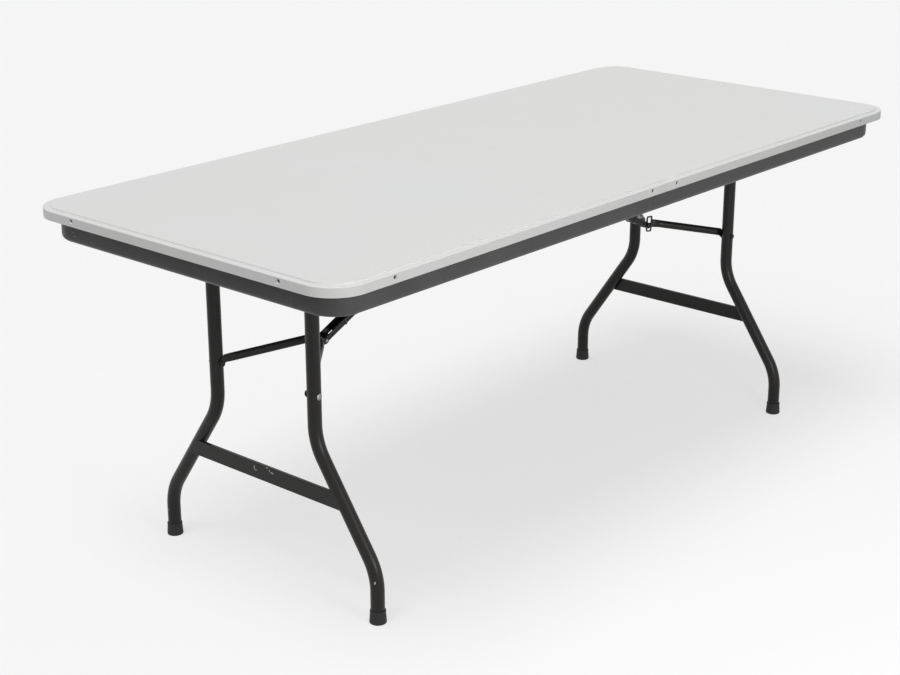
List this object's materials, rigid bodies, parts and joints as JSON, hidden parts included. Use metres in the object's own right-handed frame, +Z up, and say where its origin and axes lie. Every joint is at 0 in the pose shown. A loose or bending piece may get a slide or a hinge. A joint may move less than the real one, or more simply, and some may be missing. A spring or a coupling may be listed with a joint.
{
  "type": "folding casino table",
  "caption": "Folding casino table: white moulded top on a steel apron, two tubular leg frames that fold flat on jointed Y braces with lock rings.",
  "frame": {"origin": "on the floor, under the middle of the table top", "axes": "+X along the table's length from the near leg frame to the far one, +Y across the top, +Z up"},
  "size_m": [1.83, 0.806, 0.718],
  "materials": {
    "white_plastic": "moulded white plastic with a fine grain, satin",
    "grey_paint": "charcoal powder coat on sheet steel, satin",
    "black_paint": "black powder coat on tube and bar, satin, with small chips",
    "black_rubber": "black rubber foot caps, matte, scuffed",
    "dark_steel": "blackened steel pins, screws and wire rings"
  },
  "bodies": {
    "table_frame": {"top_panel_near": "white_plastic", "top_panel_far": "white_plastic", "apron_near": "grey_paint", "apron_far": "grey_paint", "apron_splice_left": "grey_paint", "apron_splice_right": "grey_paint", "cross_rail_near": "grey_paint", "cross_rail_far": "grey_paint", "cross_rail_centre": "grey_paint", "pivot_bracket_near_right": "grey_paint", "pivot_bracket_near_left": "grey_paint", "anchor_clevis_near": "grey_paint", "anchor_pin_near": "dark_steel", "pivot_bracket_far_right": "grey_paint", "pivot_bracket_far_left": "grey_paint", "anchor_clevis_far": "grey_paint", "anchor_pin_far": "dark_steel", "skirt_screw_01": "dark_steel", "skirt_screw_02": "dark_steel", "skirt_screw_03": "dark_steel", "skirt_screw_04": "dark_steel", "skirt_screw_05": "dark_steel", "skirt_screw_06": "dark_steel", "skirt_screw_07": "dark_steel", "skirt_screw_08": "dark_steel", "skirt_screw_09": "dark_steel", "skirt_screw_10": "dark_steel", "skirt_screw_11": "dark_steel", "skirt_screw_12": "dark_steel"},
    "near_leg": {"pivot_tube_near": "black_paint", "crossbar_near": "black_paint", "leg_tube_near_right": "black_paint", "foot_near_right": "black_rubber", "leg_bolt_near_right": "dark_steel", "leg_tube_near_left": "black_paint", "foot_near_left": "black_rubber", "leg_bolt_near_left": "dark_steel"},
    "near_channel": {"brace_channel_near": "black_paint", "knee_pin_near": "dark_steel"},
    "near_brace": {"brace_tube_near_right": "black_paint", "brace_tube_near_left": "black_paint", "brace_nut_near_right": "dark_steel", "brace_nut_near_left": "dark_steel"},
    "near_ring": {"lock_ring_near": "dark_steel"},
    "far_leg": {"pivot_tube_far": "black_paint", "crossbar_far": "black_paint", "leg_tube_far_right": "black_paint", "foot_far_right": "black_rubber", "leg_bolt_far_right": "dark_steel", "leg_tube_far_left": "black_paint", "foot_far_left": "black_rubber", "leg_bolt_far_left": "dark_steel"},
    "far_channel": {"brace_channel_far": "black_paint", "knee_pin_far": "dark_steel"},
    "far_brace": {"brace_tube_far_right": "black_paint", "brace_tube_far_left": "black_paint", "brace_nut_far_right": "dark_steel", "brace_nut_far_left": "dark_steel"},
    "far_ring": {"lock_ring_far": "dark_steel"}
  },
  "joints": [
    {"name": "near_fold", "type": "hinge", "parent": "table_frame", "child": "near_leg", "pos_m": [-0.705, 0, 0.67], "axis": [0, -1, 0], "range_deg": [0, 90]},
    {"name": "near_anchor", "type": "hinge", "parent": "table_frame", "child": "near_channel", "pos_m": [-0.054, 0, 0.676], "axis": [0, -1, 0], "range_deg": [-23.91, 0]},
    {"name": "near_knee", "type": "hinge", "parent": "near_channel", "child": "near_brace", "pos_m": [-0.55187, 0, 0.44613], "axis": [0, -1, 0], "range_deg": [0, 191.51]},
    {"name": "near_ring_slide", "type": "slide", "parent": "near_channel", "child": "near_ring", "axis": [0.9079, 0, 0.4192], "range_m": [0, 0.1051]},
    {"name": "far_fold", "type": "hinge", "parent": "table_frame", "child": "far_leg", "pos_m": [0.666, 0, 0.67], "axis": [0, 1, 0], "range_deg": [0, 90]},
    {"name": "far_anchor", "type": "hinge", "parent": "table_frame", "child": "far_channel", "pos_m": [0.015, 0, 0.676], "axis": [0, 1, 0], "range_deg": [-23.91, 0]},
    {"name": "far_knee", "type": "hinge", "parent": "far_channel", "child": "far_brace", "pos_m": [0.51287, 0, 0.44613], "axis": [0, 1, 0], "range_deg": [0, 191.51]},
    {"name": "far_ring_slide", "type": "slide", "parent": "far_channel", "child": "far_ring", "axis": [-0.9079, 0, 0.4192], "range_m": [0, 0.1051]}
  ],
  "couplings": [
    {"joint": "near_anchor", "follows": "near_fold", "ratio": -0.2656},
    {"joint": "near_knee", "follows": "near_fold", "ratio": 2.1278},
    {"joint": "near_ring_slide", "follows": "near_fold", "m_per_rad": 0.066845},
    {"joint": "far_anchor", "follows": "far_fold", "ratio": -0.2656},
    {"joint": "far_knee", "follows": "far_fold", "ratio": 2.1278},
    {"joint": "far_ring_slide", "follows": "far_fold", "m_per_rad": 0.066845}
  ]
}
